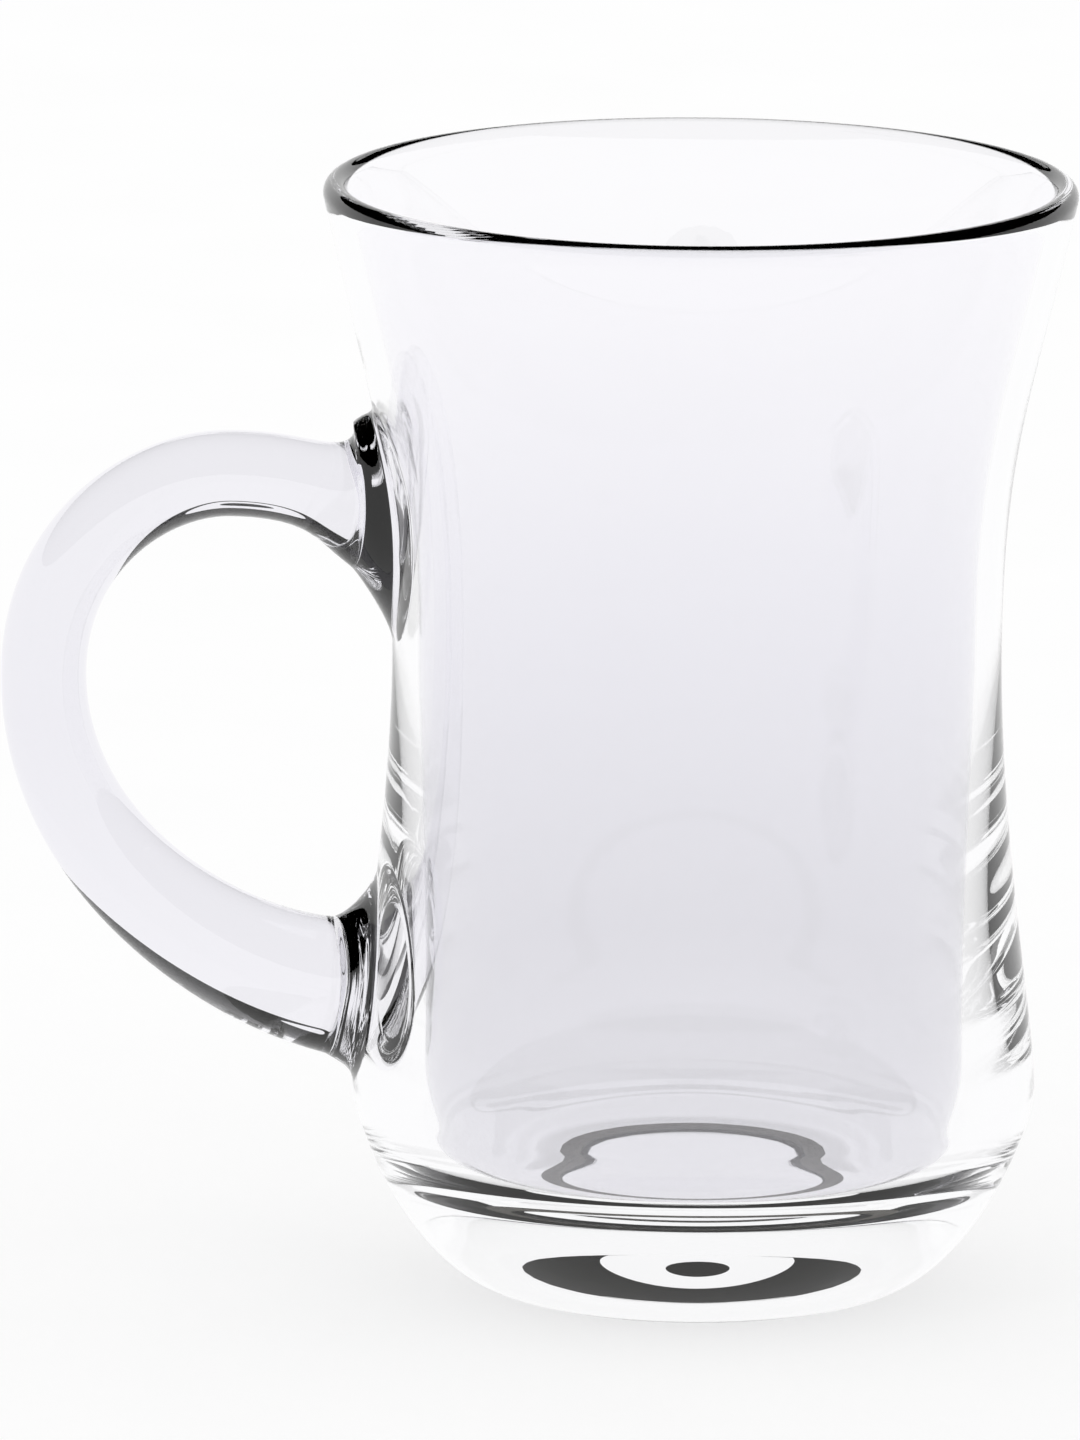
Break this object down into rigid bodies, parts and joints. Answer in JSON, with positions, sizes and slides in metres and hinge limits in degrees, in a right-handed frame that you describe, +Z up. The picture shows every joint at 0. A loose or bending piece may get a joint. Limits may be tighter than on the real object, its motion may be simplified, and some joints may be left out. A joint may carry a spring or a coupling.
{
  "type": "glass mug",
  "caption": "Clear glass mug with a flared rim, drawn-in waist, heavy rounded base and an ear-shaped handle welded to the wall by flared feet.",
  "frame": {"origin": "on the surface that the mug stands on, under the middle of the whole mug's box; the vessel's axis stands 14 mm from it towards +X", "axes": "+Z up along the vessel's axis, -X from the vessel towards the handle, Y across the handle's plane"},
  "size_m": [0.094, 0.066, 0.0982],
  "materials": {
    "clear_glass": "clear soda-lime glass, fire-polished"
  },
  "bodies": {
    "root": {"mug_body": "clear_glass", "handle": "clear_glass"}
  },
  "joints": []
}
